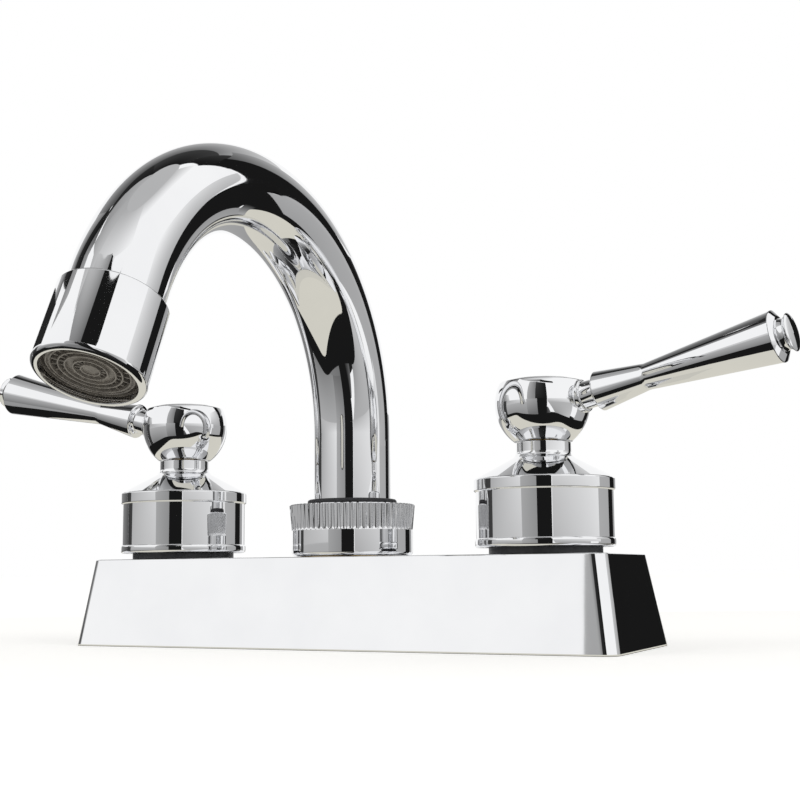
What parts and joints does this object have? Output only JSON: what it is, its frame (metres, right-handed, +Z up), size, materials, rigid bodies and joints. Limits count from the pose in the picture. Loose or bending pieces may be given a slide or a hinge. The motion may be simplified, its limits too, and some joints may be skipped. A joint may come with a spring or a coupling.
{
  "type": "two-handle bathroom faucet",
  "caption": "Centre-set washbasin faucet with a swivelling gooseneck spout, ball-hubbed lever handles and a tapered chrome deck cover.",
  "frame": {"origin": "on the deck's top plane, where the spout's swivel axis meets it", "axes": "+Z up along the spout's swivel axis, +X from the left handle to the right one, -Y towards the user"},
  "size_m": [0.226, 0.1411, 0.1574],
  "materials": {
    "chrome_plate": "polished",
    "brass": "machined",
    "black_rubber": "matte",
    "grey_plastic": "matte",
    "aerator_plastic": "satin",
    "ceramic": "polished",
    "steel": "brushed"
  },
  "bodies": {
    "base": {"base_cover": "chrome_plate", "base_seal": "black_rubber", "waterway": "brass", "mounting_washers": "steel", "mounting_nuts": "grey_plastic", "left_cover_nut": "grey_plastic", "left_skirt": "chrome_plate", "left_cartridge": "brass", "left_seat_seal": "black_rubber", "left_fixed_disc": "ceramic", "right_cover_nut": "grey_plastic", "right_skirt": "chrome_plate", "right_cartridge": "brass", "right_seat_seal": "black_rubber", "right_fixed_disc": "ceramic", "spout_nut": "chrome_plate", "spout_ring": "black_rubber"},
    "left_handle": {"left_moving_disc": "ceramic", "left_stem": "brass", "left_stem_seal": "black_rubber", "left_hub": "chrome_plate", "left_handle_screw": "steel", "left_index_cap": "chrome_plate", "left_lever": "chrome_plate"},
    "right_handle": {"right_moving_disc": "ceramic", "right_stem": "brass", "right_stem_seal": "black_rubber", "right_hub": "chrome_plate", "right_handle_screw": "steel", "right_index_cap": "chrome_plate", "right_lever": "chrome_plate"},
    "spout": {"spout_tube": "chrome_plate", "spout_retainer": "grey_plastic", "spout_seals": "black_rubber", "aerator_housing": "chrome_plate", "aerator_washer": "black_rubber", "aerator_body": "aerator_plastic", "aerator_screen": "steel", "aerator_grille": "aerator_plastic"}
  },
  "joints": [
    {"name": "left_handle_turn", "type": "hinge", "parent": "base", "child": "left_handle", "pos_m": [-0.0508, 0, 0.0572], "axis": [0, 0, 1], "range_deg": [-2, 88]},
    {"name": "right_handle_turn", "type": "hinge", "parent": "base", "child": "right_handle", "pos_m": [0.0508, 0, 0.0572], "axis": [0, 0, 1], "range_deg": [-79, 11]},
    {"name": "spout_swivel", "type": "hinge", "parent": "base", "child": "spout", "pos_m": [0, 0, 0.03], "axis": [0, 0, 1], "range_deg": [-60, 60]}
  ]
}
